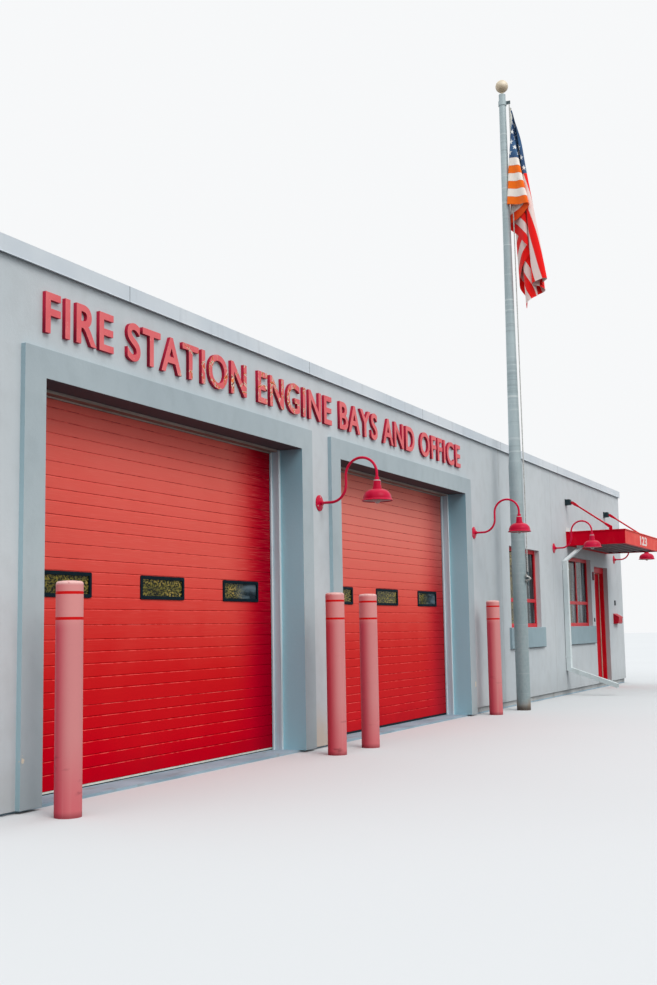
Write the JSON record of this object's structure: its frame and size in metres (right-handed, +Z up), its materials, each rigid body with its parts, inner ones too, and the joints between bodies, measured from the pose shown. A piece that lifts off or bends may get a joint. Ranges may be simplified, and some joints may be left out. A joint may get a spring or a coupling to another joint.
{
  "type": "two-bay fire station building",
  "caption": "Low flat-roofed building with two sectional vehicle doors, an office entry under a hung canopy, gooseneck lamps, bollards and a flagpole.",
  "frame": {"origin": "middle of the building's plan, on the level ground under its floor slab", "axes": "+X along the facade to the right as seen from the street, +Y from the street to the yard, +Z up"},
  "size_m": [19.006, 13.272, 9.274],
  "materials": {
    "stucco": "fine sand-textured stucco, warm light grey",
    "blue_grey_stucco": "fine stucco, blue grey",
    "concrete": "troweled concrete",
    "roofing": "single-ply roofing membrane",
    "coping_metal": "satin pale grey coated sheet",
    "trim_metal": "satin off-white",
    "door_red": "satin red with fine grain",
    "black_rubber": "matte black",
    "glass": "clear tinted",
    "frame_red": "gloss red",
    "leaf_red": "gloss red",
    "weatherstrip": "pale vinyl",
    "hardware_steel": "satin",
    "curtain_rod": "satin",
    "curtain_cloth": "dark woven curtain",
    "canopy_red": "gloss red",
    "deck_metal": "dark painted ribbed deck",
    "rod_red": "gloss red",
    "bracket_black": "satin black",
    "lamp_red": "gloss crimson enamel",
    "bulb": "frosted",
    "pipe_white": "satin white",
    "mailbox_red": "gloss red",
    "alarm_maroon": "gloss maroon",
    "black_plastic": "matte black",
    "bollard_pink": "sun-faded red plastic",
    "pole_steel": "weathered galvanised",
    "ball_gold": "pale gold anodised",
    "rope": "braided",
    "flag_cloth": "nylon bunting"
  },
  "bodies": {
    "building": {"front_left_pier": "stucco", "front_centre_pier": "stucco", "wall_over_bays": "stucco", "office_wall": "stucco", "wall_over_entry": "stucco", "front_right_pier": "stucco", "left_wall": "stucco", "right_wall": "stucco", "back_wall": "stucco", "bay_surround_1": "blue_grey_stucco", "bay_surround_2": "blue_grey_stucco", "sill_panels": "blue_grey_stucco", "floor_slab": "concrete", "front_foundation": "concrete", "right_foundation": "concrete", "entry_sill": "concrete", "roof_deck": "roofing", "coping_front": "coping_metal", "coping_right": "coping_metal", "coping_back": "coping_metal", "coping_left": "coping_metal", "bay_jamb_trims": "trim_metal", "bay_head_trims": "trim_metal", "canopy_flashing": "trim_metal", "bay_door_1": "door_red", "bay_door_2": "door_red", "bay_window_frames": "black_rubber", "bay_bottom_seals": "black_rubber", "bay_window_glass": "glass", "window_glass": "glass", "front_window_frames": "frame_red", "back_window_frames": "frame_red", "entry_frame": "frame_red", "entry_weatherstrip": "weatherstrip", "frame_hinge_halves": "hardware_steel", "curtain_rods": "curtain_rod", "curtains": "curtain_cloth", "canopy_frame": "canopy_red", "canopy_deck": "deck_metal", "hanger_rods": "rod_red", "hanger_brackets": "bracket_black", "lamp_arms": "lamp_red", "lamp_shades": "lamp_red", "lamp_bulbs": "bulb", "downspout": "pipe_white", "mailbox": "mailbox_red", "alarm_box": "alarm_maroon", "doorbell": "black_plastic", "entry_keypad": "black_plastic", "bollards": "bollard_pink", "flagpole": "pole_steel", "flagpole_ball": "ball_gold", "halyard": "rope", "flag": "flag_cloth"},
    "entry_door": {"entry_door_leaf": "leaf_red", "entry_door_lever": "hardware_steel", "door_hinge_halves": "hardware_steel"}
  },
  "joints": [
    {"name": "entry_door_hinge", "type": "hinge", "parent": "building", "child": "entry_door", "pos_m": [8.2, -5.8757, 1.15], "axis": [0, 0, -1], "range_deg": [0, 100]}
  ]
}
